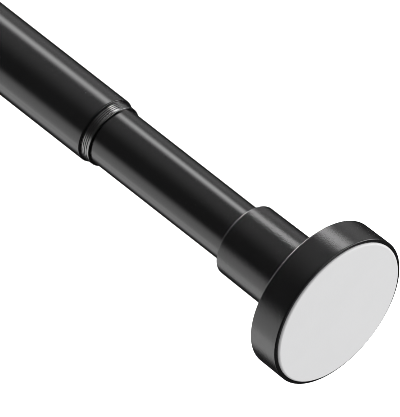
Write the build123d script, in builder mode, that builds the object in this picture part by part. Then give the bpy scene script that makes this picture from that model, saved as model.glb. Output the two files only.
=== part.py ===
from build123d import *
import os
from dataclasses import dataclass
from math import cos, pi, radians, tan

# Telescopic tension rod for a shower curtain. A thick tube stands on one wall, and a thin
# tube slides out of it to the other. A twist lock inside grips the thick tube's bore, and
# a spring then presses the thin tube's pad against its wall.
#
# All sizes are in millimetres. The rod lies along X, with x = 0 on the wall at the thick
# tube's end. "Depth" is the distance from the wall at either end, measured into the room.

os.makedirs("parts", exist_ok=True)

# Tubes
outer_tube_diameter = 25.4
outer_tube_length = 1030.0
tube_wall = 0.6
mouth_rounding = 0.45
exposed_length = 66.0  # thin tube in view between the bush and the hub

# Guide bush in the thick tube's mouth
bush_wall = 1.05
bush_running_gap = 0.05
bush_seat_length = 24.0
bush_nose_length = 4.0
bush_nose_step = 0.25
bush_groove_count = 4
bush_groove_width = 0.4
bush_groove_depth = 0.15
bush_lip_length = 0.8
bush_lip_rounding = 0.3

# End cap: a disc against the wall and a hub round the tube, moulded in one
disc_diameter = 58.6
disc_depth = 12.35
disc_draft = 0.8
disc_rounding = 0.5
rim_width = 1.4
skirt_wall = 1.8
web_thickness = 2.0
cap_rib_count = 8
cap_rib_thickness = 1.4
hub_length = 33.25
hub_wall = 2.9
hub_draft = 0.55
hub_gap = 0.05
end_wall = 2.5

# Rubber pad in the disc's face
pad_thickness = 2.6
pad_proud = 0.8
pad_gap = 0.05
pad_rounding = 1.0

# Plug in the tube's end, and the screw that holds the cap to it
plug_length = 18.0
plug_flange = 1.6
plug_rib_height = 1.0
plug_rib_width = 2.0
plug_rib_count = 6
plug_lead_in = 0.8
screw_length = 14.0
screw_radius = 2.0
screw_head_radius = 4.0
screw_head_height = 2.4
screw_tip_length = 3.0
screw_head_gap = 0.3
screw_hole_gap = 0.3
pilot_spare_depth = 2.0
cross_recess_width = 1.2
cross_recess_length = 4.8
cross_recess_depth = 1.5
cross_recess_taper = 12.0
washer_thickness = 0.8
washer_overhang = 1.0
head_recess_gap = 0.8

# Spring behind the thin tube
spring_length = 60.0
spring_stroke = 25.0
spring_wire = 1.8
spring_turns = 8
spring_bore_gap = 2.5
spring_end_grind = 0.3

# Drive plug in the thin tube's inner end, with the six-sided way that turns the spindle
drive_flange = 3.0
drive_flange_gap = 0.4
drive_length = 22.0
drive_groove_count = 6
drive_groove_width = 2.2
drive_groove_depth = 0.9
hex_across_flats = 9.0
hex_gap = 0.15

# Lock spindle
shoulder_thickness = 4.0
shoulder_gap = 1.5
journal_radius = 6.4
journal_gap = 0.08
thread_pitch = 4.0
thread_root_radius = 4.8
thread_depth = 1.2
thread_root_width = 2.4
thread_crest_width = 1.4
thread_gap = 0.2
thread_sink = 0.2
thread_runout = 0.4
lock_turns = 1.5
tail_radius = 4.0
clip_groove_depth = 0.8
clip_thickness = 1.0
clip_height = 1.8
clip_mouth = 3.2
spindle_end_length = 1.5
thin_washer = 1.0

# Split collet that grips the bore, and the cone nut that spreads it
collet_gap = 0.4
collet_ring_length = 8.0
collet_cavity_length = 6.0
cone_length = 14.0
cone_half_angle = 7.0
finger_wall = 1.8
finger_count = 6
slot_width = 2.4
grip_groove_count = 5
grip_groove_depth = 0.4
cone_gap = 0.1
nut_length = 16.0
nut_end_gap = 0.3
key_length = 5.0
key_gap = 0.25
key_set_back = 0.5
key_sink = 0.6
drag_ring_section = 1.8
drag_ring_gap = 0.1

# Room left between pieces that meet only at the end of a travel
closing_gap = 0.5

# How near an edge must be to the place it is looked for at
edge_tolerance = 0.001


# Radii that follow from the tubes
outer_radius = outer_tube_diameter / 2
outer_bore = outer_radius - tube_wall
inner_radius = outer_bore - bush_wall - bush_running_gap
inner_bore = inner_radius - tube_wall

# Depths in the end caps
disc_back = pad_proud + disc_depth
hub_end = disc_back + hub_length
washer_seat = pad_thickness + screw_head_gap + screw_head_height + washer_thickness
tube_stop = washer_seat + end_wall
tube_seat = tube_stop + plug_flange
plug_end = tube_seat + plug_length

# Stations along the rod at the thin tube's end
mouth_x = tube_seat + outer_tube_length
nose_x = mouth_x + bush_nose_length
hub_end_x = nose_x + exposed_length
overall_length = hub_end_x + hub_end
inner_tube_end_x = overall_length - tube_seat

# Stations of the lock, from its tail towards the thin tube. Pushed in, the tail meets the
# fixed plug while the hub is still a spring stroke away from the bush.
wedge_travel = thread_pitch * lock_turns
closing_travel = exposed_length - spring_stroke - closing_gap
tail_x = plug_end + closing_travel + closing_gap
tail_clip_x = tail_x + spindle_end_length
tail_washer_x = tail_clip_x + clip_thickness
thread_start_x = tail_washer_x + thin_washer
nut_back_x = thread_start_x + nut_end_gap
nut_front_x = nut_back_x + nut_length
collet_back_x = nut_front_x + wedge_travel - cone_length
cavity_x = collet_back_x + cone_length
ring_back_x = cavity_x + collet_cavity_length
collet_front_x = ring_back_x + collet_ring_length
journal_clip_x = ring_back_x - nut_end_gap - clip_thickness
shoulder_back_x = collet_front_x + thin_washer
shoulder_x = shoulder_back_x + shoulder_thickness
drive_face_x = shoulder_x + spring_length
inner_tube_start_x = drive_face_x + drive_flange
drive_back_x = inner_tube_start_x + drive_length
shank_clip_x = drive_back_x + thin_washer
shank_end_x = shank_clip_x + clip_thickness + spindle_end_length

# Radii in the lock
shank_radius = hex_across_flats / 2
hex_corner_radius = shank_radius / cos(pi / 6)
shoulder_radius = outer_bore - shoulder_gap
collet_radius = outer_bore - collet_gap
cone_slope = tan(radians(cone_half_angle))
cone_mouth_radius = collet_radius - finger_wall
cone_root_radius = cone_mouth_radius - cone_length * cone_slope


@dataclass
class End:
    """One end of the rod: its wall, the way into the room, and the tube it carries."""

    name: str
    wall_x: float
    inward: int
    tube_radius: float

    def x(self, depth):
        """Place along the rod of a depth measured from this end's wall."""
        return self.wall_x + self.inward * depth

    def plane(self, depth):
        """Plane across the rod at that depth, facing into the room."""
        return Plane(origin=(self.x(depth), 0, 0), x_dir=(0, 1, 0), z_dir=(self.inward, 0, 0))


def half_section(points):
    """Closed half section of (x, radius) points, to be revolved about the rod's axis."""
    with BuildSketch(Plane.XY) as section:
        with BuildLine():
            Polyline(*points, close=True)
        make_face()
    return section.sketch


def circle_edges(part, x, radius):
    """The circular edges of that radius across the rod at x."""
    circles = part.edges().filter_by(GeomType.CIRCLE)
    at_x = circles.filter_by(lambda edge: abs(edge.arc_center.X - x) < edge_tolerance)
    return at_x.filter_by(lambda edge: abs(edge.radius - radius) < edge_tolerance)


def thread_ridge(start_x, turns, gap):
    """Ridge of the right-hand lock thread, grown by a gap all round and sunk into its core."""
    axial = Vector(1, 0, 0)
    root_radius = thread_root_radius + gap
    flank_slope = (thread_root_width - thread_crest_width) / 2 / thread_depth
    half_base = thread_root_width / 2 + gap + thread_sink * flank_slope
    half_crest = thread_crest_width / 2 + gap
    path = Helix(
        thread_pitch,
        turns * thread_pitch,
        root_radius,
        center=(start_x, 0, 0),
        direction=axial,
    )
    radial = (path @ 0 - Vector(start_x, 0, 0)).normalized()
    with BuildPart() as ridge:
        with BuildSketch(Plane(origin=path @ 0, x_dir=axial, z_dir=axial.cross(radial))):
            with BuildLine():
                Polyline(
                    (-half_base, -thread_sink),
                    (-half_crest, thread_depth),
                    (half_crest, thread_depth),
                    (half_base, -thread_sink),
                    close=True,
                )
            make_face()
        sweep(path=path, is_frenet=True)
    return ridge.part


def write(part, name):
    """Label a finished piece and write it as one STEP file."""
    part.label = name
    export_step(part, f"parts/{name}.step")


# Thick tube, with its mouth rounded over
with BuildPart() as outer_tube:
    revolve(
        half_section(
            [
                (tube_seat, outer_bore),
                (tube_seat, outer_radius),
                (mouth_x, outer_radius),
                (mouth_x, outer_bore),
            ]
        ),
        axis=Axis.X,
    )
    fillet(circle_edges(outer_tube, mouth_x, outer_radius), mouth_rounding)
write(outer_tube.part, "outer_tube")

# Thin tube
with BuildPart() as inner_tube:
    revolve(
        half_section(
            [
                (inner_tube_start_x, inner_bore),
                (inner_tube_start_x, inner_radius),
                (inner_tube_end_x, inner_radius),
                (inner_tube_end_x, inner_bore),
            ]
        ),
        axis=Axis.X,
    )
write(inner_tube.part, "inner_tube")

# Guide bush: a sleeve seated in the mouth, with a grooved nose and a lip in view
bush_bore = inner_radius + bush_running_gap
nose_radius = outer_bore - bush_nose_step
bush_groove_pitch = (bush_nose_length - bush_lip_length) / bush_groove_count
with BuildPart() as guide_bush:
    revolve(
        half_section(
            [
                (mouth_x - bush_seat_length, bush_bore),
                (mouth_x - bush_seat_length, outer_bore),
                (mouth_x, outer_bore),
                (mouth_x, nose_radius),
                (nose_x, nose_radius),
                (nose_x, bush_bore),
            ]
        ),
        axis=Axis.X,
    )
    for groove in range(bush_groove_count):
        groove_x = mouth_x + groove * bush_groove_pitch + (bush_groove_pitch - bush_groove_width) / 2
        revolve(
            half_section(
                [
                    (groove_x, nose_radius),
                    (groove_x + bush_groove_width / 2, nose_radius - bush_groove_depth),
                    (groove_x + bush_groove_width, nose_radius),
                ]
            ),
            axis=Axis.X,
            mode=Mode.SUBTRACT,
        )
    fillet(circle_edges(guide_bush, nose_x, nose_radius), bush_lip_rounding)
    chamfer(circle_edges(guide_bush, mouth_x - bush_seat_length, outer_bore), bush_lip_rounding)
write(guide_bush.part, "guide_bush")

# Both ends: cap, pad, plug, washer and screw
ends = [
    End("fixed", 0.0, 1, outer_radius),
    End("moving", overall_length, -1, inner_radius),
]
pad_radius = disc_diameter / 2 - rim_width
recess_radius = pad_radius + pad_gap
skirt_radius = disc_diameter / 2 - disc_depth * tan(radians(disc_draft)) - skirt_wall
pocket_floor = disc_back - web_thickness
screw_hole_radius = screw_radius + screw_hole_gap
washer_radius = screw_head_radius + washer_overhang
head_recess_radius = washer_radius + head_recess_gap

for end in ends:
    hub_bore = end.tube_radius + hub_gap
    hub_radius = hub_bore + hub_wall
    hub_root_radius = hub_radius + hub_length * tan(radians(hub_draft))
    disc_back_radius = disc_diameter / 2 - disc_depth * tan(radians(disc_draft))
    plug_bore = end.tube_radius - tube_wall

    # Cap, with ribbed pockets behind the pad and the tube's socket in the hub
    with BuildPart() as end_cap:
        cap_outline = [
            (pad_proud, recess_radius),
            (pad_proud, disc_diameter / 2),
            (disc_back, disc_back_radius),
            (disc_back, hub_root_radius),
            (hub_end, hub_radius),
            (hub_end, hub_bore),
            (tube_stop, hub_bore),
            (tube_stop, screw_hole_radius),
            (washer_seat, screw_hole_radius),
            (washer_seat, head_recess_radius),
            (pad_thickness, head_recess_radius),
            (pad_thickness, hub_radius),
            (pocket_floor, hub_radius),
            (pocket_floor, skirt_radius),
            (pad_thickness, skirt_radius),
            (pad_thickness, recess_radius),
        ]
        revolve(half_section([(end.x(depth), radius) for depth, radius in cap_outline]), axis=Axis.X)
        fillet(circle_edges(end_cap, end.x(disc_back), disc_back_radius), disc_rounding)
        fillet(circle_edges(end_cap, end.x(pad_proud), disc_diameter / 2), disc_rounding)
        fillet(circle_edges(end_cap, end.x(hub_end), hub_radius), disc_rounding)
        rib_reach = skirt_radius - hub_radius + skirt_wall
        with BuildSketch(end.plane(pad_thickness)):
            with PolarLocations((skirt_radius + hub_radius) / 2, cap_rib_count):
                Rectangle(rib_reach, cap_rib_thickness)
        extrude(amount=pocket_floor - pad_thickness)
    write(end_cap.part, f"{end.name}_end_cap")

    # Rubber pad, a little proud of the rim
    with BuildPart() as pad:
        with BuildSketch(end.plane(0)):
            Circle(pad_radius)
        extrude(amount=pad_thickness)
        fillet(circle_edges(pad, end.x(0), pad_radius), pad_rounding)
    write(pad.part, f"{end.name}_pad")

    # Plug driven into the tube, gripping by ribs along it
    with BuildPart() as plug:
        with BuildSketch(end.plane(tube_stop)):
            Circle(end.tube_radius)
        extrude(amount=plug_flange)
        with BuildSketch(end.plane(tube_seat)):
            Circle(plug_bore - plug_rib_height)
        extrude(amount=plug_length)
        with BuildSketch(end.plane(tube_seat)):
            with PolarLocations(plug_bore - plug_rib_height, plug_rib_count):
                Rectangle(2 * plug_rib_height, plug_rib_width)
            Circle(plug_bore, mode=Mode.INTERSECT)
        extrude(amount=plug_length)
        tip_edges = plug.faces().sort_by(Axis.X)[-1 if end.inward > 0 else 0].outer_wire().edges()
        chamfer(tip_edges.filter_by(GeomType.CIRCLE), plug_lead_in / 2)
        pilot_depth = screw_length - end_wall - washer_thickness + pilot_spare_depth
        with BuildSketch(end.plane(tube_stop)):
            Circle(screw_radius)
        extrude(amount=pilot_depth, mode=Mode.SUBTRACT)
    write(plug.part, f"{end.name}_plug")

    # Washer under the screw's head
    with BuildPart() as washer:
        with BuildSketch(end.plane(washer_seat - washer_thickness)):
            Circle(washer_radius)
            Circle(screw_hole_radius, mode=Mode.SUBTRACT)
        extrude(amount=washer_thickness)
    write(washer.part, f"{end.name}_washer")

    # Pan-head screw with a cross recess
    with BuildPart() as screw:
        head_back = washer_seat - washer_thickness
        head_front = head_back - screw_head_height
        tip = head_back + screw_length
        screw_outline = [
            (head_front, 0),
            (head_front, screw_head_radius),
            (head_back, screw_head_radius),
            (head_back, screw_radius),
            (tip - screw_tip_length, screw_radius),
            (tip, 0),
        ]
        revolve(half_section([(end.x(depth), radius) for depth, radius in screw_outline]), axis=Axis.X)
        fillet(circle_edges(screw, end.x(head_front), screw_head_radius), screw_head_height / 2)
        with BuildSketch(end.plane(head_front)):
            Rectangle(cross_recess_length, cross_recess_width)
            Rectangle(cross_recess_width, cross_recess_length)
        extrude(amount=cross_recess_depth, taper=cross_recess_taper, mode=Mode.SUBTRACT)
    write(screw.part, f"{end.name}_screw")

# Drive plug: pressed into the thin tube, its flange carries the spring
with BuildPart() as drive_plug:
    with BuildSketch(Plane.YZ.offset(drive_face_x)):
        Circle(outer_bore - drive_flange_gap)
    extrude(amount=drive_flange)
    with BuildSketch(Plane.YZ.offset(inner_tube_start_x)):
        Circle(inner_bore)
        with PolarLocations(inner_bore, drive_groove_count):
            Rectangle(2 * drive_groove_depth, drive_groove_width, mode=Mode.SUBTRACT)
    extrude(amount=drive_length)
    with BuildSketch(Plane.YZ.offset(drive_face_x)):
        RegularPolygon(shank_radius + hex_gap, 6, major_radius=False)
    extrude(amount=drive_flange + drive_length, mode=Mode.SUBTRACT)
write(drive_plug.part, "drive_plug")

# Spring between the drive plug and the spindle's shoulder, its ends ground flat
spring_radius = outer_bore - spring_bore_gap - spring_wire / 2
coil_length = spring_length + 2 * spring_end_grind - spring_wire
with BuildPart() as tension_spring:
    coil = Helix(
        coil_length / spring_turns,
        coil_length,
        spring_radius,
        center=(shoulder_x - spring_end_grind + spring_wire / 2, 0, 0),
        direction=(1, 0, 0),
    )
    with BuildSketch(Plane(origin=coil @ 0, z_dir=coil % 0)):
        Circle(spring_wire / 2)
    sweep(path=coil, is_frenet=True)
    split(bisect_by=Plane.YZ.offset(shoulder_x), keep=Keep.TOP)
    split(bisect_by=Plane.YZ.offset(drive_face_x), keep=Keep.BOTTOM)
write(tension_spring.part, "tension_spring")

# Lock spindle: six-sided shank, shoulder, journal, coarse thread and tail
clip_groove_radius = shank_radius - clip_groove_depth
tail_groove_radius = tail_radius - clip_groove_depth
journal_groove_radius = journal_radius - clip_groove_depth
thread_end_x = nut_front_x + wedge_travel + nut_end_gap
ridge_start_x = thread_start_x + thread_runout + thread_root_width / 2
ridge_end_x = thread_end_x - thread_runout - thread_root_width / 2
ridge_turns = (ridge_end_x - ridge_start_x) / thread_pitch
spindle_thread = thread_ridge(ridge_start_x, ridge_turns, 0)
with BuildPart() as lock_spindle:
    with BuildSketch(Plane.YZ.offset(shoulder_x)):
        RegularPolygon(shank_radius, 6, major_radius=False)
    extrude(amount=shank_end_x - shoulder_x)
    revolve(
        half_section(
            [
                (tail_x, 0),
                (tail_x, tail_radius),
                (thread_start_x, tail_radius),
                (thread_start_x, thread_root_radius),
                (thread_end_x, thread_root_radius),
                (thread_end_x, journal_radius),
                (shoulder_back_x, journal_radius),
                (shoulder_back_x, shoulder_radius),
                (shoulder_x, shoulder_radius),
                (shoulder_x, 0),
            ]
        ),
        axis=Axis.X,
    )
    for groove_x, groove_radius, reach in (
        (shank_clip_x, clip_groove_radius, hex_corner_radius),
        (tail_clip_x, tail_groove_radius, tail_radius),
        (journal_clip_x, journal_groove_radius, journal_radius),
    ):
        with BuildSketch(Plane.YZ.offset(groove_x)):
            Circle(reach + clip_groove_depth)
            Circle(groove_radius, mode=Mode.SUBTRACT)
        extrude(amount=clip_thickness, mode=Mode.SUBTRACT)
    chamfer(lock_spindle.faces().sort_by(Axis.X)[-1].edges(), clip_groove_depth / 2)
    add(spindle_thread)
write(lock_spindle.part, "lock_spindle")

# Plain washers on the spindle
for washer_name, washer_x, bore, rim in (
    ("shank_washer", drive_back_x, hex_corner_radius + hex_gap, inner_bore - shoulder_gap),
    ("thrust_washer", collet_front_x, journal_radius + journal_gap, shoulder_radius),
    ("tail_washer", tail_washer_x, tail_radius + journal_gap, cone_root_radius),
):
    with BuildPart() as spindle_washer:
        with BuildSketch(Plane.YZ.offset(washer_x)):
            Circle(rim)
            Circle(bore, mode=Mode.SUBTRACT)
        extrude(amount=thin_washer)
    write(spindle_washer.part, washer_name)

# Snap clips in the spindle's grooves
for clip_name, clip_x, groove_radius in (
    ("shank_clip", shank_clip_x, clip_groove_radius),
    ("journal_clip", journal_clip_x, journal_groove_radius),
    ("tail_clip", tail_clip_x, tail_groove_radius),
):
    with BuildPart() as snap_clip:
        with BuildSketch(Plane.YZ.offset(clip_x)):
            Circle(groove_radius + clip_height)
            Circle(groove_radius, mode=Mode.SUBTRACT)
            with Locations((groove_radius + clip_height / 2, 0)):
                Rectangle(2 * clip_height, clip_mouth, mode=Mode.SUBTRACT)
        extrude(amount=clip_thickness)
    write(snap_clip.part, clip_name)

# Collet: a ring on the journal with six fingers that open over the nut's cone
drag_ring_radius = outer_bore - drag_ring_gap - drag_ring_section / 2
grip_pitch = cone_length / grip_groove_count
with BuildPart() as lock_collet:
    revolve(
        half_section(
            [
                (collet_back_x, cone_mouth_radius),
                (collet_back_x, collet_radius),
                (collet_front_x, collet_radius),
                (collet_front_x, journal_radius + journal_gap),
                (ring_back_x, journal_radius + journal_gap),
                (ring_back_x, cone_root_radius),
                (cavity_x, cone_root_radius),
            ]
        ),
        axis=Axis.X,
    )
    for groove in range(grip_groove_count):
        groove_x = collet_back_x + groove * grip_pitch
        revolve(
            half_section(
                [
                    (groove_x + grip_pitch / 2, collet_radius),
                    (groove_x + grip_pitch, collet_radius),
                    (groove_x + grip_pitch, collet_radius - grip_groove_depth),
                ]
            ),
            axis=Axis.X,
            mode=Mode.SUBTRACT,
        )
    with BuildSketch(Plane.YZ.offset(collet_back_x)):
        with PolarLocations(collet_radius, finger_count):
            Rectangle(2 * collet_radius, slot_width)
        Circle(cone_root_radius / 2, mode=Mode.SUBTRACT)
    extrude(amount=ring_back_x - collet_back_x, mode=Mode.SUBTRACT)
    with BuildSketch(Plane.XY):
        with Locations(((ring_back_x + collet_front_x) / 2, drag_ring_radius)):
            Rectangle(drag_ring_section, drag_ring_section)
            with Locations((0, drag_ring_section)):
                Rectangle(drag_ring_section, 2 * drag_ring_section)
    revolve(axis=Axis.X, mode=Mode.SUBTRACT)
write(lock_collet.part, "lock_collet")

# Drag ring: a rubber ring that keeps the collet from turning with the spindle
with BuildPart() as drag_ring:
    with BuildSketch(Plane.XY):
        with Locations(((ring_back_x + collet_front_x) / 2, drag_ring_radius)):
            Circle(drag_ring_section / 2)
    revolve(axis=Axis.X)
write(drag_ring.part, "drag_ring")

# Tap that cuts the nut's thread, a turn longer than the spindle's at both ends
tap_start_x = ridge_start_x - thread_pitch
tap_turns = ridge_turns + 2
nut_thread = thread_ridge(tap_start_x, tap_turns, thread_gap)
with BuildPart() as thread_tap:
    with BuildSketch(Plane.YZ.offset(tap_start_x - thread_pitch)):
        Circle(thread_root_radius + thread_gap)
    extrude(amount=(tap_turns + 2) * thread_pitch)
    add(nut_thread)

# Cone nut: threaded on the spindle, its keys held in the collet's slots
nut_small_radius = cone_root_radius - cone_gap
nut_large_radius = nut_small_radius + nut_length * cone_slope
key_radius = collet_radius - grip_groove_depth
key_root_radius = nut_small_radius - key_sink
with BuildPart() as wedge_nut:
    revolve(
        half_section(
            [
                (nut_front_x, 0),
                (nut_front_x, nut_small_radius),
                (nut_back_x, nut_large_radius),
                (nut_back_x, 0),
            ]
        ),
        axis=Axis.X,
    )
    add(thread_tap.part, mode=Mode.SUBTRACT)
    with BuildSketch(Plane.YZ.offset(nut_front_x - key_set_back - key_length)):
        with PolarLocations((key_radius + key_root_radius) / 2, finger_count):
            Rectangle(key_radius - key_root_radius, slot_width - 2 * key_gap)
    extrude(amount=key_length)
write(wedge_nut.part, "wedge_nut")
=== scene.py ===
"""Extendable shower curtain rod: the dressed rod and the studio round it."""
import logging
import math
from collections.abc import Sequence
from dataclasses import dataclass
from enum import Enum

import bmesh
import bpy
from mathutils import Matrix, Vector


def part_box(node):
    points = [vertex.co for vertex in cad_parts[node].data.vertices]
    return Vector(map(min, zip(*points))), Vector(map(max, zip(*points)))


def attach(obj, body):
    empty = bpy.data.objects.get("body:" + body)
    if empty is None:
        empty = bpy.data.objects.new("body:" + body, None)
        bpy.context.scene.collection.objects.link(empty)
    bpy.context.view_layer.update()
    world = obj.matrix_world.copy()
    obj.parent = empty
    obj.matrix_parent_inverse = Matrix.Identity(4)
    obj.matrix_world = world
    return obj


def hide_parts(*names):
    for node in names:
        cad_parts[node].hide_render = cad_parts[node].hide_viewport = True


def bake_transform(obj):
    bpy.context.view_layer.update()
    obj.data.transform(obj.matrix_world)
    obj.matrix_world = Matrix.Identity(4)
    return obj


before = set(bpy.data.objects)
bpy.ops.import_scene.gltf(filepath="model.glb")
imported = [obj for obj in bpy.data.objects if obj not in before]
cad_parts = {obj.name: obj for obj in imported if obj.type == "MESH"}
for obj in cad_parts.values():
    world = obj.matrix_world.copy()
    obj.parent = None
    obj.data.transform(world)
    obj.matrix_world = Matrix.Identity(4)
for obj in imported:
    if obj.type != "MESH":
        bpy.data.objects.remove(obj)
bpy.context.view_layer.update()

# Outlines and weld distances are in millimetres, and MM turns them into the scene's metres.
MM = 0.001
WELD_DISTANCE = 0.002
TURN_STEPS = 128
ROUNDING_STEPS = 5
FULL_TURN = 2 * math.pi
SHARP_ANGLE = math.radians(32)
# Weight of large faces over small ones in the shading, out of 100.
LARGE_FACE_WEIGHT = 100
# Refraction of the finishes that give none of their own.
REFRACTION = 1.5
WHITE = (1.0, 1.0, 1.0, 1.0)

log = logging.getLogger("curtain_rod")

SocketValue = float | tuple[float, ...] | bpy.types.NodeSocket


class Slot(Enum):
    """The record's material slots, one for each finish."""

    TUBE = "black_tube"
    BUSH = "black_bush"
    CAP = "black_cap"
    PAD = "grey_pad"
    NYLON = "natural_nylon"
    ZINC = "zinc_steel"
    SPRING = "spring_steel"
    RUBBER = "black_rubber"


Materials = dict[Slot, bpy.types.Material]


class RodEnd(Enum):
    """The rod's two ends: name, body that carries it, and the way from its wall into the room."""

    FIXED = ("fixed", "thick_tube", 1)
    MOVING = ("moving", "thin_tube", -1)

    @property
    def title(self) -> str:
        """First word of the end's piece names."""
        return self.value[0]

    @property
    def body(self) -> str:
        """Body that the end's pieces ride on."""
        return self.value[1]

    @property
    def inward(self) -> int:
        """Sign of the way along the rod from this end's wall."""
        return self.value[2]


class NodeBench:
    """Adds nodes to one node tree and joins them."""

    def __init__(self, tree: bpy.types.NodeTree) -> None:
        """Takes a tree and clears it."""
        self.tree = tree
        tree.nodes.clear()

    def add(
        self, kind: str, inputs: dict[str | int, SocketValue] | None = None, **settings: object
    ) -> bpy.types.Node:
        """Adds a node with its settings, values and feeds.

        Args:
            kind: the node's type.
            inputs: socket names or numbers, each with its value or the socket that feeds it.
            settings: the node's own properties.

        Returns:
            The new node.
        """
        node = self.tree.nodes.new(kind)
        for name, value in settings.items():
            setattr(node, name, value)
        for name, value in (inputs or {}).items():
            if isinstance(value, bpy.types.NodeSocket):
                self.tree.links.new(value, node.inputs[name])
            else:
                node.inputs[name].default_value = value
        return node

    def effect(
        self, group: bpy.types.NodeTree, inputs: dict[str | int, SocketValue]
    ) -> bpy.types.Node:
        """Places a shared effect with the values of this material."""
        return self.add("ShaderNodeGroup", inputs, node_tree=group)

    def maths(self, operation: str, *values: SocketValue) -> bpy.types.NodeSocket:
        """Result of one operation on up to three values.

        Args:
            operation: the Math node's operation.
            values: the values or sockets that it works on.

        Returns:
            The socket with the result.
        """
        node = self.add("ShaderNodeMath", dict(enumerate(values)), operation=operation)
        return node.outputs[0]

    def angle_to(self, way: SocketValue, aim: Sequence[float]) -> bpy.types.NodeSocket:
        """Angle between two ways, in radians.

        Args:
            way: the first way, of unit length.
            aim: the second way, of unit length.

        Returns:
            The socket with the angle.
        """
        nearness = self.add("ShaderNodeVectorMath", {0: way, 1: tuple(aim)}, operation="DOT_PRODUCT")
        return self.maths("ARCCOSINE", nearness.outputs["Value"])

    def remap(
        self, value: SocketValue, source: tuple[float, float], target: tuple[float, float]
    ) -> bpy.types.NodeSocket:
        """Maps a range of values onto another, smoothly and held at its ends.

        Args:
            value: the value or socket to map.
            source: the range that is mapped.
            target: the range that it is mapped onto.

        Returns:
            The socket with the result.
        """
        node = self.add(
            "ShaderNodeMapRange",
            {0: value, 1: source[0], 2: source[1], 3: target[0], 4: target[1]},
            interpolation_type="SMOOTHSTEP",
        )
        return node.outputs[0]

    def blend(
        self, share: SocketValue, first: SocketValue, second: SocketValue
    ) -> bpy.types.NodeSocket:
        """Mixes two colours.

        Args:
            share: how much of the second colour there is.
            first: the colour at share 0.
            second: the colour at share 1.

        Returns:
            The socket with the mixed colour.
        """
        node = self.add("ShaderNodeMix", {0: share, 6: first, 7: second}, data_type="RGBA")
        return node.outputs[2]

    def bump(
        self, height: SocketValue, depth: float, normal: bpy.types.NodeSocket | None = None
    ) -> bpy.types.NodeSocket:
        """Turns a height into a normal.

        Args:
            height: the height over the surface, as a share of the depth.
            depth: what a height of 1 stands for, in millimetres.
            normal: the normal that the relief lies on, or None for the bare surface.

        Returns:
            The socket with the normal.
        """
        inputs: dict[str | int, SocketValue] = {"Distance": depth * MM, "Height": height}
        if normal is not None:
            inputs["Normal"] = normal
        return self.add("ShaderNodeBump", inputs).outputs[0]

    def noise(
        self, vector: SocketValue, scale: SocketValue, detail: float = 2.0
    ) -> bpy.types.NodeSocket:
        """Value of a noise texture.

        Args:
            vector: the coordinates.
            scale: waves to a metre.
            detail: octaves of finer noise.

        Returns:
            The socket with the noise, about 0.5.
        """
        node = self.add("ShaderNodeTexNoise", {"Vector": vector, "Scale": scale, "Detail": detail})
        return node.outputs["Factor" if "Factor" in node.outputs else "Fac"]


class EffectGroup:
    """A node group that several finishes share."""

    def __init__(self, name: str, inputs: dict[str, str], outputs: dict[str, str]) -> None:
        """Makes the group with its sockets.

        Args:
            name: the group's name.
            inputs: input names, each with its socket type.
            outputs: output names, each with its socket type.
        """
        self.tree = bpy.data.node_groups.new(name, "ShaderNodeTree")
        for direction, sockets in (("INPUT", inputs), ("OUTPUT", outputs)):
            for title, kind in sockets.items():
                self.tree.interface.new_socket(name=title, in_out=direction, socket_type=kind)
        self.bench = NodeBench(self.tree)
        self.given = self.bench.add("NodeGroupInput").outputs

    def close(self, results: dict[str, bpy.types.NodeSocket]) -> bpy.types.NodeTree:
        """Joins the results to the group's outputs.

        Args:
            results: output names, each with the socket that feeds it.

        Returns:
            The finished group.
        """
        self.bench.add("NodeGroupOutput", dict(results))
        return self.tree


FLOAT = "NodeSocketFloat"
VECTOR = "NodeSocketVector"
COLOUR = "NodeSocketColor"


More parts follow.
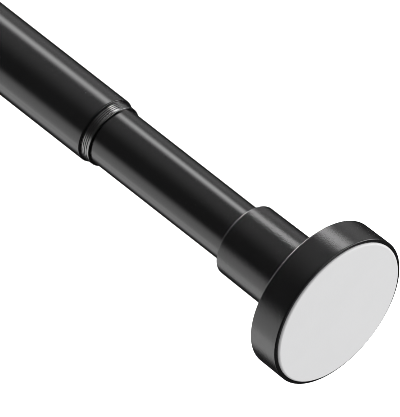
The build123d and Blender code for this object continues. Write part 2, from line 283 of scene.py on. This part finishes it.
class Effects:
    """The shared effects, each built once."""

    CELL_SMOOTHNESS = 0.6
    CELL_SHARE = 0.6
    BROAD_GRAIN_SCALE = 0.45
    BROAD_GRAIN_DETAIL = 3.0
    RIPPLE_DETAIL = 1.5
    LINE_DETAIL = 4.0
    DRIFT_DETAIL = 5.0
    DRIFT_RANGE = (0.35, 0.68)
    # Share of the dust's cells that hold no speck.
    BARE_CELLS = 0.8

    def __init__(self) -> None:
        """Builds every group."""
        self.grain = self.build_grain()
        self.ripple = self.build_ripple()
        self.drawn_lines = self.build_drawn_lines()
        self.tone_drift = self.build_tone_drift()
        self.dust = self.build_dust()

    def build_grain(self) -> bpy.types.NodeTree:
        """Fine rounded grain of a spark-eroded mould, as a height.

        Returns:
            The group.
        """
        group = EffectGroup("mould_grain", {"Vector": VECTOR, "Scale": FLOAT}, {"Height": FLOAT})
        bench, given = group.bench, group.given
        cells = bench.add(
            "ShaderNodeTexVoronoi",
            {"Vector": given["Vector"], "Scale": given["Scale"], "Smoothness": self.CELL_SMOOTHNESS},
            feature="SMOOTH_F1",
        )
        broad_scale = bench.maths("MULTIPLY", given["Scale"], self.BROAD_GRAIN_SCALE)
        broad = bench.noise(given["Vector"], broad_scale, self.BROAD_GRAIN_DETAIL)
        height = bench.maths("MULTIPLY_ADD", cells.outputs["Distance"], self.CELL_SHARE, broad)
        return group.close({"Height": height})

    def build_ripple(self) -> bpy.types.NodeTree:
        """Slow ripple that baked enamel has, as a height.

        Returns:
            The group.
        """
        group = EffectGroup("surface_ripple", {"Vector": VECTOR, "Scale": FLOAT}, {"Height": FLOAT})
        given = group.given
        height = group.bench.noise(given["Vector"], given["Scale"], self.RIPPLE_DETAIL)
        return group.close({"Height": height})

    def build_drawn_lines(self) -> bpy.types.NodeTree:
        """Fine lines left by drawing or turning, as a height.

        Returns:
            The group.
        """
        group = EffectGroup(
            "drawn_lines", {"Vector": VECTOR, "Lines": FLOAT, "Stretch": VECTOR}, {"Height": FLOAT}
        )
        bench, given = group.bench, group.given
        squeezed = bench.add(
            "ShaderNodeVectorMath", {0: given["Vector"], 1: given["Stretch"]}, operation="MULTIPLY"
        )
        return group.close(
            {"Height": bench.noise(squeezed.outputs[0], given["Lines"], self.LINE_DETAIL)}
        )

    def build_tone_drift(self) -> bpy.types.NodeTree:
        """Slow drift between two close tones over the surface, as a colour and a mask.

        Returns:
            The group.
        """
        group = EffectGroup(
            "tone_drift",
            {"Vector": VECTOR, "Scale": FLOAT, "Tone": COLOUR, "Drifted Tone": COLOUR},
            {"Color": COLOUR, "Mask": FLOAT},
        )
        bench, given = group.bench, group.given
        patches = bench.noise(given["Vector"], given["Scale"], self.DRIFT_DETAIL)
        mask = bench.remap(patches, self.DRIFT_RANGE, (0.0, 1.0))
        colour = bench.blend(mask, given["Tone"], given["Drifted Tone"])
        return group.close({"Color": colour, "Mask": mask})

    def build_dust(self) -> bpy.types.NodeTree:
        """Sparse fine specks that lie on a surface, as a mask.

        Returns:
            The group.
        """
        group = EffectGroup(
            "settled_dust", {"Vector": VECTOR, "Scale": FLOAT, "Speck": FLOAT}, {"Mask": FLOAT}
        )
        bench, given = group.bench, group.given
        cells = bench.add(
            "ShaderNodeTexVoronoi", {"Vector": given["Vector"], "Scale": given["Scale"]}
        )
        near = bench.maths("LESS_THAN", cells.outputs["Distance"], given["Speck"])
        chance = bench.add("ShaderNodeSeparateColor", {"Color": cells.outputs["Color"]})
        kept = bench.maths("GREATER_THAN", chance.outputs[0], self.BARE_CELLS)
        return group.close({"Mask": bench.maths("MULTIPLY", near, kept)})


@dataclass(frozen=True)
class Finish:
    """A finish: its name, its slot, its tones and the fine dust that lies on it."""

    name: str
    slot: Slot
    tone: tuple[float, float, float]
    drifted_tone: tuple[float, float, float]
    drift_scale: float
    roughness: float
    roughness_change: float
    dust_scale: float = 220.0
    speck_size: float = 0.05
    dust_cover: float = 0.35
    dust_roughness: float = 0.12
    dust_gain: float = 2.5
    dust_lift: float = 0.01

    def constants(self) -> dict[str, SocketValue]:
        """Constants on the shader's own sockets."""
        return {"IOR": REFRACTION}

    def relief(self, bench: NodeBench, effects: Effects, place: SocketValue) -> bpy.types.NodeSocket:
        """Normal that carries the finish's relief.

        Args:
            bench: the material's nodes.
            effects: the shared effects.
            place: object coordinates.

        Returns:
            The socket with the normal.
        """
        raise NotImplementedError

    def dusty_tone(self) -> SocketValue:
        """The tone where dust lies, paler than the bare surface."""
        paler = (min(1.0, self.dust_gain * part + self.dust_lift) for part in self.tone)
        return (*paler, 1.0)

    def material(self, effects: Effects) -> bpy.types.Material:
        """Builds the finish's material.

        Args:
            effects: the shared effects.

        Returns:
            The material.
        """
        material = bpy.data.materials.new(self.name)
        material.use_nodes = True
        bench = NodeBench(material.node_tree)
        place = bench.add("ShaderNodeTexCoord").outputs["Object"]
        drift = bench.effect(
            effects.tone_drift,
            {
                "Vector": place,
                "Scale": self.drift_scale,
                "Tone": (*self.tone, 1.0),
                "Drifted Tone": (*self.drifted_tone, 1.0),
            },
        ).outputs
        dust = bench.effect(
            effects.dust, {"Vector": place, "Scale": self.dust_scale, "Speck": self.speck_size}
        ).outputs["Mask"]
        cover = bench.maths("MULTIPLY", dust, self.dust_cover)
        colour = bench.blend(cover, drift["Color"], self.dusty_tone())
        clean = bench.maths("MULTIPLY_ADD", drift["Mask"], self.roughness_change, self.roughness)
        rough = bench.maths("ADD", clean, bench.maths("MULTIPLY", dust, self.dust_roughness))
        shader = bench.add(
            "ShaderNodeBsdfPrincipled",
            {
                "Base Color": colour,
                "Roughness": rough,
                "Normal": self.relief(bench, effects, place),
                **self.constants(),
            },
        )
        bench.add("ShaderNodeOutputMaterial", {"Surface": shader.outputs[0]})
        return material


@dataclass(frozen=True)
class EnamelFinish(Finish):
    """Stove enamel on drawn steel tube: a slight ripple, and the tube's faint lines along it."""

    ripple_scale: float = 260.0
    ripple_height: float = 0.012
    line_scale: float = 900.0
    line_height: float = 0.0015
    stretch: tuple[float, float, float] = (0.02, 1.0, 1.0)

    def relief(self, bench: NodeBench, effects: Effects, place: SocketValue) -> bpy.types.NodeSocket:
        """Lines of the drawn tube over the ripple of the enamel.

        Args:
            bench: the material's nodes.
            effects: the shared effects.
            place: object coordinates.

        Returns:
            The socket with the normal.
        """
        ripple = bench.effect(effects.ripple, {"Vector": place, "Scale": self.ripple_scale})
        lines = bench.effect(
            effects.drawn_lines,
            {"Vector": place, "Lines": self.line_scale, "Stretch": self.stretch},
        )
        rippled = bench.bump(ripple.outputs["Height"], self.ripple_height)
        return bench.bump(lines.outputs["Height"], self.line_height, rippled)


@dataclass(frozen=True)
class MouldedFinish(Finish):
    """Moulded plastic or rubber with a fine grain."""

    grain_scale: float = 1900.0
    grain_height: float = 0.02
    gloss: float = 1.49
    subsurface: float = 0.0

    def constants(self) -> dict[str, SocketValue]:
        """Constants on the shader's own sockets, with some depth of light in pale plastic."""
        return {
            "IOR": self.gloss,
            "Subsurface Weight": self.subsurface,
            "Subsurface Scale": MM,
        }

    def relief(self, bench: NodeBench, effects: Effects, place: SocketValue) -> bpy.types.NodeSocket:
        """The mould's grain."""
        grain = bench.effect(effects.grain, {"Vector": place, "Scale": self.grain_scale})
        return bench.bump(grain.outputs["Height"], self.grain_height)


@dataclass(frozen=True)
class SteelFinish(Finish):
    """Bare or plated steel with the marks of drawing or turning."""

    line_scale: float = 1400.0
    line_height: float = 0.003
    stretch: tuple[float, float, float] = (1.0, 0.15, 0.15)

    def constants(self) -> dict[str, SocketValue]:
        """Constants on the shader's own sockets."""
        return {"Metallic": 1.0, "IOR": REFRACTION}

    def relief(self, bench: NodeBench, effects: Effects, place: SocketValue) -> bpy.types.NodeSocket:
        """Lines left by the tool or the die."""
        lines = bench.effect(
            effects.drawn_lines,
            {"Vector": place, "Lines": self.line_scale, "Stretch": self.stretch},
        )
        return bench.bump(lines.outputs["Height"], self.line_height)


FINISHES = (
    EnamelFinish(
        name="satin_black_enamel",
        slot=Slot.TUBE,
        tone=(0.0065, 0.0065, 0.0068),
        drifted_tone=(0.0078, 0.0078, 0.0082),
        drift_scale=38.0,
        roughness=0.19,
        roughness_change=0.03,
    ),
    MouldedFinish(
        name="satin_black_moulding",
        slot=Slot.BUSH,
        tone=(0.0015, 0.0015, 0.0016),
        drifted_tone=(0.0025, 0.0025, 0.0026),
        drift_scale=120.0,
        roughness=0.18,
        roughness_change=0.03,
        grain_scale=2600.0,
        grain_height=0.003,
        gloss=2.2,
    ),
    MouldedFinish(
        name="grained_black_moulding",
        slot=Slot.CAP,
        tone=(0.0065, 0.0065, 0.0068),
        drifted_tone=(0.0085, 0.0085, 0.0089),
        drift_scale=90.0,
        roughness=0.175,
        roughness_change=0.02,
        grain_scale=2400.0,
        grain_height=0.035,
    ),
    MouldedFinish(
        name="light_grey_rubber",
        slot=Slot.PAD,
        tone=(0.68, 0.68, 0.685),
        drifted_tone=(0.665, 0.665, 0.67),
        drift_scale=70.0,
        roughness=0.6,
        roughness_change=0.06,
        grain_scale=1500.0,
        grain_height=0.01,
    ),
    MouldedFinish(
        name="natural_nylon",
        slot=Slot.NYLON,
        tone=(0.78, 0.75, 0.66),
        drifted_tone=(0.72, 0.68, 0.57),
        drift_scale=110.0,
        roughness=0.42,
        roughness_change=0.08,
        grain_scale=1200.0,
        grain_height=0.008,
        subsurface=0.15,
    ),
    SteelFinish(
        name="zinc_plate",
        slot=Slot.ZINC,
        tone=(0.62, 0.64, 0.67),
        drifted_tone=(0.52, 0.55, 0.60),
        drift_scale=140.0,
        roughness=0.3,
        roughness_change=0.14,
    ),
    SteelFinish(
        name="oiled_spring_steel",
        slot=Slot.SPRING,
        tone=(0.27, 0.265, 0.26),
        drifted_tone=(0.19, 0.18, 0.17),
        drift_scale=180.0,
        roughness=0.34,
        roughness_change=0.12,
        line_scale=1700.0,
        stretch=(0.3, 1.0, 1.0),
    ),
    MouldedFinish(
        name="matt_black_rubber",
        slot=Slot.RUBBER,
        tone=(0.012, 0.012, 0.012),
        drifted_tone=(0.018, 0.018, 0.017),
        drift_scale=160.0,
        roughness=0.68,
        roughness_change=0.1,
        grain_scale=1500.0,
        grain_height=0.02,
    ),
)


@dataclass(frozen=True)
class Corner:
    """A corner of a turned outline: place along the rod, radius and rounding, in millimetres."""

    x: float
    radius: float
    rounding: float = 0.0


def box_mm(node: str) -> tuple[Vector, Vector]:
    """Lowest and highest corner of a CAD node in millimetres."""
    low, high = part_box(node)
    return low / MM, high / MM


def link_piece(mesh: bmesh.types.BMesh, title: str, material: bpy.types.Material) -> bpy.types.Object:
    """Shades a mesh, smooth but for its sharp edges, and puts it in the scene.

    Args:
        mesh: the piece's mesh in metres, which is freed.
        title: the name of the object and of its mesh.
        material: the piece's material.

    Returns:
        The object.
    """
    for face in mesh.faces:
        face.smooth = True
    for edge in mesh.edges:
        edge.smooth = edge.calc_face_angle(0.0) < SHARP_ANGLE
    data = bpy.data.meshes.new(title)
    mesh.to_mesh(data)
    mesh.free()
    data.materials.append(material)
    piece = bpy.data.objects.new(title, data)
    bpy.context.scene.collection.objects.link(piece)
    return piece


def report(piece: bpy.types.Object, node: str) -> None:
    """Logs a finished piece with its count of faces and its length along the rod."""
    low, high = box_mm(node)
    log.info("%s: %d faces, %.1f mm long", piece.name, len(piece.data.polygons), high.x - low.x)


class Turning:
    """A shell turned round the rod's axis from an outline."""

    def __init__(self, corners: Sequence[Corner], closed: bool = True) -> None:
        """Draws the outline, rounds its corners and turns it.

        Args:
            corners: the outline's corners in order.
            closed: whether the last corner joins the first, as on a ring.
        """
        self.mesh = bmesh.new()
        points = [self.mesh.verts.new((corner.x, 0.0, corner.radius)) for corner in corners]
        for first, second in zip(points, points[1:]):
            self.mesh.edges.new((first, second))
        if closed:
            self.mesh.edges.new((points[-1], points[0]))
        for point, corner in zip(points, corners):
            if corner.rounding > 0:
                bmesh.ops.bevel(
                    self.mesh,
                    geom=[point],
                    offset=corner.rounding,
                    offset_type="OFFSET",
                    segments=ROUNDING_STEPS,
                    profile=0.5,
                    affect="VERTICES",
                    material=-1,
                )
        bmesh.ops.spin(
            self.mesh,
            geom=self.mesh.verts[:] + self.mesh.edges[:],
            cent=(0.0, 0.0, 0.0),
            axis=(1.0, 0.0, 0.0),
            angle=FULL_TURN,
            steps=TURN_STEPS,
            use_merge=True,
        )
        bmesh.ops.remove_doubles(self.mesh, verts=self.mesh.verts, dist=WELD_DISTANCE)
        bmesh.ops.recalc_face_normals(self.mesh, faces=self.mesh.faces)

    def add_rib(
        self, angle: float, x_range: tuple[float, float], reach: tuple[float, float], width: float
    ) -> None:
        """Adds a flat rib that stands out from the axis.

        Args:
            angle: the rib's place round the rod.
            x_range: its two ends along the rod.
            reach: its inner and outer radius.
            width: its thickness.
        """
        middle = Vector((sum(x_range) / 2, 0.0, sum(reach) / 2))
        size = Matrix.Diagonal((x_range[1] - x_range[0], width, reach[1] - reach[0], 1.0))
        place = Matrix.Rotation(angle, 4, "X") @ Matrix.Translation(middle) @ size
        bmesh.ops.create_cube(self.mesh, size=1.0, matrix=place)

    def finish(self, name: str, slot: Slot, body: str, materials: Materials) -> bpy.types.Object:
        """Makes the piece and lets it stand for the CAD node of its name.

        Args:
            name: the CAD node's name.
            slot: the slot that gives the piece its finish.
            body: the body that it rides on.
            materials: the material of each slot.

        Returns:
            The finished piece.
        """
        bmesh.ops.scale(self.mesh, vec=(MM, MM, MM), verts=self.mesh.verts)
        piece = link_piece(self.mesh, f"{name}_turned", materials[slot])
        shading = piece.modifiers.new("even_shading", "WEIGHTED_NORMAL")
        shading.keep_sharp = True
        shading.weight = LARGE_FACE_WEIGHT
        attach(piece, body)
        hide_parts(name)
        report(piece, name)
        return piece


@dataclass(frozen=True)
class Tube:
    """A steel tube of the rod, cut square or rounded over at its mouth."""

    name: str
    body: str
    wall: float = 0.6
    mouth_rounding: float = 0.0

    def build(self, materials: Materials) -> bpy.types.Object:
        """Turns the tube between its CAD ends.

        Args:
            materials: the material of each slot.

        Returns:
            The tube.
        """
        low, high = box_mm(self.name)
        bore = high.z - self.wall
        outline = (
            Corner(low.x, bore),
            Corner(low.x, high.z),
            Corner(high.x, high.z, self.mouth_rounding),
            Corner(high.x, bore),
        )
        return Turning(outline).finish(self.name, Slot.TUBE, self.body, materials)


@dataclass(frozen=True)
class GuideBush:
    """The moulded bush in the thick tube's mouth: a seated sleeve, a grooved nose and a lip."""

    bore: float = 11.05
    seat_length: float = 24.0
    nose_step: float = 0.25
    groove_count: int = 4
    groove_width: float = 0.4
    groove_depth: float = 0.15
    groove_rounding: float = 0.05
    lip_length: float = 0.8
    lip_rounding: float = 0.3

    def build(self, materials: Materials) -> bpy.types.Object:
        """Turns the bush with its grooves.

        Args:
            materials: the material of each slot.

        Returns:
            The bush.
        """
        low, high = box_mm("guide_bush")
        mouth = low.x + self.seat_length
        nose = high.z - self.nose_step
        pitch = (high.x - mouth - self.lip_length) / self.groove_count
        outline = [
            Corner(low.x, self.bore),
            Corner(low.x, high.z, self.lip_rounding),
            Corner(mouth, high.z),
            Corner(mouth, nose),
        ]
        for groove in range(self.groove_count):
            middle = mouth + (groove + 0.5) * pitch
            outline.append(Corner(middle - self.groove_width / 2, nose, self.groove_rounding))
            outline.append(Corner(middle, nose - self.groove_depth, self.groove_rounding))
            outline.append(Corner(middle + self.groove_width / 2, nose, self.groove_rounding))
        outline.append(Corner(high.x, nose, self.lip_rounding))
        outline.append(Corner(high.x, self.bore))
        return Turning(outline).finish("guide_bush", Slot.BUSH, "thick_tube", materials)


@dataclass(frozen=True)
class EndFitting:
    """An end cap, moulded as a disc with a hub round the tube, and the pad in its face."""

    end: RodEnd
    tube_radius: float
    pad_proud: float = 0.8
    pad_thickness: float = 2.6
    pad_gap: float = 0.05
    pad_rounding: float = 0.7
    disc_back: float = 13.15
    disc_draft: float = 0.8
    disc_rounding: float = 0.5
    skirt_wall: float = 1.8
    web_thickness: float = 2.0
    hub_gap: float = 0.05
    hub_wall: float = 2.9
    hub_draft: float = 0.55
    tube_stop: float = 8.6
    washer_seat: float = 6.1
    screw_hole_radius: float = 2.3
    head_recess_radius: float = 5.8
    rib_count: int = 8
    rib_thickness: float = 1.4

    def wall_x(self) -> float:
        """Place of this end's wall along the rod."""
        low, high = box_mm(f"{self.end.title}_pad")
        return low.x if self.end.inward > 0 else high.x

    def corner(self, depth: float, radius: float, rounding: float = 0.0) -> Corner:
        """Corner of an outline at a depth from this end's wall."""
        return Corner(self.wall_x() + self.end.inward * depth, radius, rounding)

    def build_cap(self, materials: Materials) -> bpy.types.Object:
        """Turns the cap and ribs the pockets behind its pad.

        Args:
            materials: the material of each slot.

        Returns:
            The cap.
        """
        name = f"{self.end.title}_end_cap"
        low, high = box_mm(name)
        disc_radius = high.z
        hub_end = high.x - low.x + self.pad_proud
        recess = box_mm(f"{self.end.title}_pad")[1].z + self.pad_gap
        draft = (self.disc_back - self.pad_proud) * math.tan(math.radians(self.disc_draft))
        back_radius = disc_radius - draft
        skirt = back_radius - self.skirt_wall
        bore = self.tube_radius + self.hub_gap
        hub = bore + self.hub_wall
        hub_root = hub + (hub_end - self.disc_back) * math.tan(math.radians(self.hub_draft))
        floor = self.disc_back - self.web_thickness
        outline = (
            self.corner(self.pad_proud, recess),
            self.corner(self.pad_proud, disc_radius, self.disc_rounding),
            self.corner(self.disc_back, back_radius, self.disc_rounding),
            self.corner(self.disc_back, hub_root),
            self.corner(hub_end, hub, self.disc_rounding),
            self.corner(hub_end, bore),
            self.corner(self.tube_stop, bore),
            self.corner(self.tube_stop, self.screw_hole_radius),
            self.corner(self.washer_seat, self.screw_hole_radius),
            self.corner(self.washer_seat, self.head_recess_radius),
            self.corner(self.pad_thickness, self.head_recess_radius),
            self.corner(self.pad_thickness, hub),
            self.corner(floor, hub),
            self.corner(floor, skirt),
            self.corner(self.pad_thickness, skirt),
            self.corner(self.pad_thickness, recess),
        )
        cap = Turning(outline)
        ends = sorted((self.corner(self.pad_thickness, 0.0).x, self.corner(floor, 0.0).x))
        sunk = self.skirt_wall / 2
        for rib in range(self.rib_count):
            angle = FULL_TURN * rib / self.rib_count
            cap.add_rib(angle, (ends[0], ends[1]), (hub - sunk, skirt + sunk), self.rib_thickness)
        return cap.finish(name, Slot.CAP, self.end.body, materials)

    def build_pad(self, materials: Materials) -> bpy.types.Object:
        """Turns the pad, with its face's edge rounded.

        Args:
            materials: the material of each slot.

        Returns:
            The pad.
        """
        name = f"{self.end.title}_pad"
        radius = box_mm(name)[1].z
        outline = (
            self.corner(0.0, 0.0),
            self.corner(0.0, radius, self.pad_rounding),
            self.corner(self.pad_thickness, radius),
            self.corner(self.pad_thickness, 0.0),
        )
        return Turning(outline, closed=False).finish(name, Slot.PAD, self.end.body, materials)


class HiddenParts:
    """The lock, the plugs, the screws and the washers, which keep their CAD shapes."""

    GROUPS = {
        Slot.NYLON: ("fixed_plug", "moving_plug", "drive_plug", "lock_collet", "wedge_nut"),
        Slot.ZINC: (
            "fixed_washer",
            "fixed_screw",
            "moving_washer",
            "moving_screw",
            "lock_spindle",
            "shank_washer",
            "thrust_washer",
            "tail_washer",
        ),
        Slot.SPRING: ("shank_clip", "journal_clip", "tail_clip"),
        Slot.RUBBER: ("drag_ring",),
    }

    def dress(self, materials: Materials) -> None:
        """Gives each part the material of its slot.

        Args:
            materials: the material of each slot.
        """
        for slot, names in self.GROUPS.items():
            for name in names:
                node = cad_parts[name]
                for place in node.material_slots:
                    place.material = materials[slot]
                log.info("%s: %s", name, materials[slot].name)


class TensionSpring:
    """The compression spring between spindle and drive plug. The real one closes up as it is pressed;
    this coil keeps one length.
    """

    NAME = "tension_spring"

    def build(self, materials: Materials) -> bpy.types.Object:
        """Takes the CAD spring's shape as one welded, shaded coil in the CAD node's place.

        Args:
            materials: the material of each slot.

        Returns:
            The spring.
        """
        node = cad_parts[self.NAME]
        mesh = bmesh.new()
        mesh.from_mesh(node.data)
        bmesh.ops.transform(mesh, matrix=node.matrix_world, verts=mesh.verts)
        bmesh.ops.remove_doubles(mesh, verts=mesh.verts, dist=WELD_DISTANCE * MM)
        coil = link_piece(mesh, f"{self.NAME}_coil", materials[Slot.SPRING])
        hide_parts(self.NAME)
        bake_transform(coil)
        report(coil, self.NAME)
        return coil


@dataclass(frozen=True)
class SoftPanel:
    """A soft studio light: a flat panel of even brightness that the camera does not see."""

    name: str
    centre: tuple[float, float, float]
    aim: tuple[float, float, float]
    width: float
    height: float
    radiance: float
    gloss: bool = True

    def build(self) -> bpy.types.Object:
        """Makes the light and turns it to its aim.

        Returns:
            The light.
        """
        data = bpy.data.lights.new(self.name, "AREA")
        data.shape = "RECTANGLE"
        data.size = self.width
        data.size_y = self.height
        data.energy = self.radiance * math.pi * self.width * self.height
        panel = bpy.data.objects.new(self.name, data)
        bpy.context.scene.collection.objects.link(panel)
        way = Vector(self.aim) - Vector(self.centre)
        turn = way.to_track_quat("-Z", "Y").to_matrix().to_4x4()
        panel.matrix_world = Matrix.Translation(self.centre) @ turn
        panel.visible_camera = False
        panel.visible_glossy = self.gloss
        return panel


@dataclass(frozen=True)
class SoftBand:
    """A long soft light beside the rod, brightest along its middle, which only gloss shows."""

    angle: float
    spread: float
    radiance: float
    fading: float = 1.0

    def build(self, bench: NodeBench, across: SocketValue) -> bpy.types.NodeSocket:
        """Works out what the band sends from each way round the rod.

        Args:
            bench: the surroundings' nodes.
            across: the way of the light across the rod, of unit length.

        Returns:
            The socket with the radiance.
        """
        turn = math.radians(self.angle)
        edge = math.radians(self.spread)
        away = bench.angle_to(across, (0.0, math.cos(turn), math.sin(turn)))
        return bench.remap(away, (edge * (1.0 - self.fading), edge), (self.radiance, 0.0))


@dataclass(frozen=True)
class SoftRound:
    """A round soft light beyond the rod's far end, which only gloss shows."""

    aim: tuple[float, float, float]
    spread: float
    radiance: float
    fading: float = 0.5

    def build(self, bench: NodeBench, way: SocketValue) -> bpy.types.NodeSocket:
        """Works out what the light sends from each way.

        Args:
            bench: the surroundings' nodes.
            way: the way of the light, of unit length.

        Returns:
            The socket with the radiance.
        """
        edge = math.radians(self.spread)
        away = bench.angle_to(way, Vector(self.aim).normalized())
        return bench.remap(away, (edge * (1.0 - self.fading), edge), (self.radiance, 0.0))


@dataclass(frozen=True)
class Studio:
    """Pale floor, soft light and the camera at the photograph's angle."""

    azimuth: float = 46.89
    elevation: float = 47.01
    lens: float = 1500.0
    sensor: float = 36.0
    frame_height: float = 0.1416
    look_right: float = -0.046715
    look_up: float = 0.035128
    view_reach: float = 100.0
    pixel_filter: float = 0.8
    floor_size: float = 40.0
    floor_level: float = -0.42
    floor_cells: int = 8
    floor_tones: tuple[float, float] = (0.93, 0.95)
    floor_clouds: float = 1.5
    floor_cloud_range: tuple[float, float] = (0.3, 0.7)
    floor_roughness: float = 0.9
    floor_glow: float = 0.6
    ambient: float = 0.52
    gloss_ambient: float = 0.02
    band_ends: tuple[float, float] = (-0.3, 0.05)
    bands: tuple[SoftBand, ...] = (
        SoftBand(41.4, 17.4, 6.1),
        SoftBand(79.0, 55.0, 0.57),
        SoftBand(11.6, 40.0, 0.66),
        SoftBand(140.0, 50.0, 0.08),
        SoftBand(-144.7, 50.0, 1.63, fading=0.54),
        SoftBand(-135.0, 8.0, 0.71),
    )
    edge_light: SoftRound = SoftRound((-0.96, 0.28, 0.02), 29.0, 8.0)
    panels: tuple[SoftPanel, ...] = (
        SoftPanel("far_end_panel", (-1.98, 2.1, 0.3), (0.0, 0.0, 0.0), 2.4, 1.4, 8.4, gloss=False),
        SoftPanel("near_end_panel", (3.14, 2.1, 0.3), (1.157, 0.0, 0.0), 3.6, 1.4, 5.6),
    )

    def build_floor(self) -> bpy.types.Object:
        """Lays the pale floor, which the rod's gloss does not show.

        Returns:
            The floor.
        """
        mesh = bmesh.new()
        bmesh.ops.create_grid(
            mesh,
            x_segments=self.floor_cells,
            y_segments=self.floor_cells,
            size=self.floor_size / 2,
        )
        bmesh.ops.translate(mesh, vec=(0.0, 0.0, self.floor_level), verts=mesh.verts)
        data = bpy.data.meshes.new("studio_floor")
        mesh.to_mesh(data)
        mesh.free()
        material = bpy.data.materials.new("pale_floor")
        material.use_nodes = True
        bench = NodeBench(material.node_tree)
        place = bench.add("ShaderNodeTexCoord").outputs["Object"]
        clouds = bench.noise(place, self.floor_clouds)
        share = bench.remap(clouds, self.floor_cloud_range, (0.0, 1.0))
        darker, paler = ((tone, tone, tone, 1.0) for tone in self.floor_tones)
        shader = bench.add(
            "ShaderNodeBsdfPrincipled",
            {
                "Base Color": bench.blend(share, darker, paler),
                "Roughness": self.floor_roughness,
                "Emission Color": WHITE,
                "Emission Strength": self.floor_glow,
            },
        )
        bench.add("ShaderNodeOutputMaterial", {"Surface": shader.outputs[0]})
        data.materials.append(material)
        floor = bpy.data.objects.new("studio_floor", data)
        bpy.context.scene.collection.objects.link(floor)
        floor.visible_glossy = False
        floor.visible_diffuse = False
        return floor

    def build_world(self) -> None:
        """Lights the surroundings: white to the camera, even to matt surfaces, banded to gloss."""
        world = bpy.data.worlds.new("studio_surroundings")
        world.use_nodes = True
        bench = NodeBench(world.node_tree)
        path = bench.add("ShaderNodeLightPath")
        way = bench.add("ShaderNodeTexCoord").outputs["Generated"]
        flat = bench.add("ShaderNodeVectorMath", {0: way, 1: (0.0, 1.0, 1.0)}, operation="MULTIPLY")
        across = bench.add("ShaderNodeVectorMath", {0: flat.outputs[0]}, operation="NORMALIZE")
        glow: SocketValue = 0.0
        for band in self.bands:
            glow = bench.maths("ADD", glow, band.build(bench, across.outputs[0]))
        along = bench.add("ShaderNodeSeparateXYZ", {0: way}).outputs["X"]
        glow = bench.maths("MULTIPLY", glow, bench.remap(along, self.band_ends, (1.0, 0.0)))
        glow = bench.maths("ADD", glow, self.edge_light.build(bench, way))
        glow = bench.maths("ADD", glow, self.gloss_ambient)
        even = (self.ambient, self.ambient, self.ambient, 1.0)
        soft = bench.blend(path.outputs["Is Glossy Ray"], even, glow)
        seen = bench.blend(path.outputs["Is Camera Ray"], soft, WHITE)
        light = bench.add("ShaderNodeBackground", {"Color": seen})
        bench.add("ShaderNodeOutputWorld", {"Surface": light.outputs[0]})
        world.cycles.sampling_method = "NONE"
        bpy.context.scene.world = world

    def build_camera(self) -> bpy.types.Object:
        """Sets the camera at the photograph's angle, with the moving end's disc in its place.

        Returns:
            The camera.
        """
        turn, tilt = math.radians(self.azimuth), math.radians(self.elevation)
        back = Vector(
            (math.sin(turn) * math.cos(tilt), -math.cos(turn) * math.cos(tilt), math.sin(tilt))
        )
        right = Vector((math.cos(turn), math.sin(turn), 0.0))
        up = back.cross(right)
        disc_face = Vector((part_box("moving_end_cap")[1].x, 0.0, 0.0))
        aim = disc_face + right * self.look_right + up * self.look_up
        distance = self.lens * self.frame_height / self.sensor
        data = bpy.data.cameras.new("studio_camera")
        data.lens = self.lens
        data.sensor_width = self.sensor
        data.clip_end = self.view_reach
        camera = bpy.data.objects.new("studio_camera", data)
        bpy.context.scene.collection.objects.link(camera)
        facing = Matrix((right, up, back)).transposed().to_4x4()
        camera.matrix_world = Matrix.Translation(aim + back * distance) @ facing
        bpy.context.scene.camera = camera
        return camera

    def build(self) -> None:
        """Sets up the floor, the surroundings, the lights and the camera."""
        self.build_floor()
        self.build_world()
        for panel in self.panels:
            panel.build()
            log.info("%s: radiance %.2f", panel.name, panel.radiance)
        self.build_camera()
        bpy.context.scene.view_settings.view_transform = "Standard"
        bpy.context.scene.cycles.filter_width = self.pixel_filter


def main() -> None:
    """Builds the rod's pieces in order, then the studio."""
    logging.basicConfig(level=logging.INFO, format="%(message)s")
    effects = Effects()
    materials = {finish.slot: finish.material(effects) for finish in FINISHES}
    Tube("outer_tube", "thick_tube", mouth_rounding=0.45).build(materials)
    Tube("inner_tube", "thin_tube").build(materials)
    GuideBush().build(materials)
    for end, tube in ((RodEnd.FIXED, "outer_tube"), (RodEnd.MOVING, "inner_tube")):
        fitting = EndFitting(end, tube_radius=box_mm(tube)[1].z)
        fitting.build_cap(materials)
        fitting.build_pad(materials)
    HiddenParts().dress(materials)
    TensionSpring().build(materials)
    Studio().build()


if __name__ == "__main__":
    main()
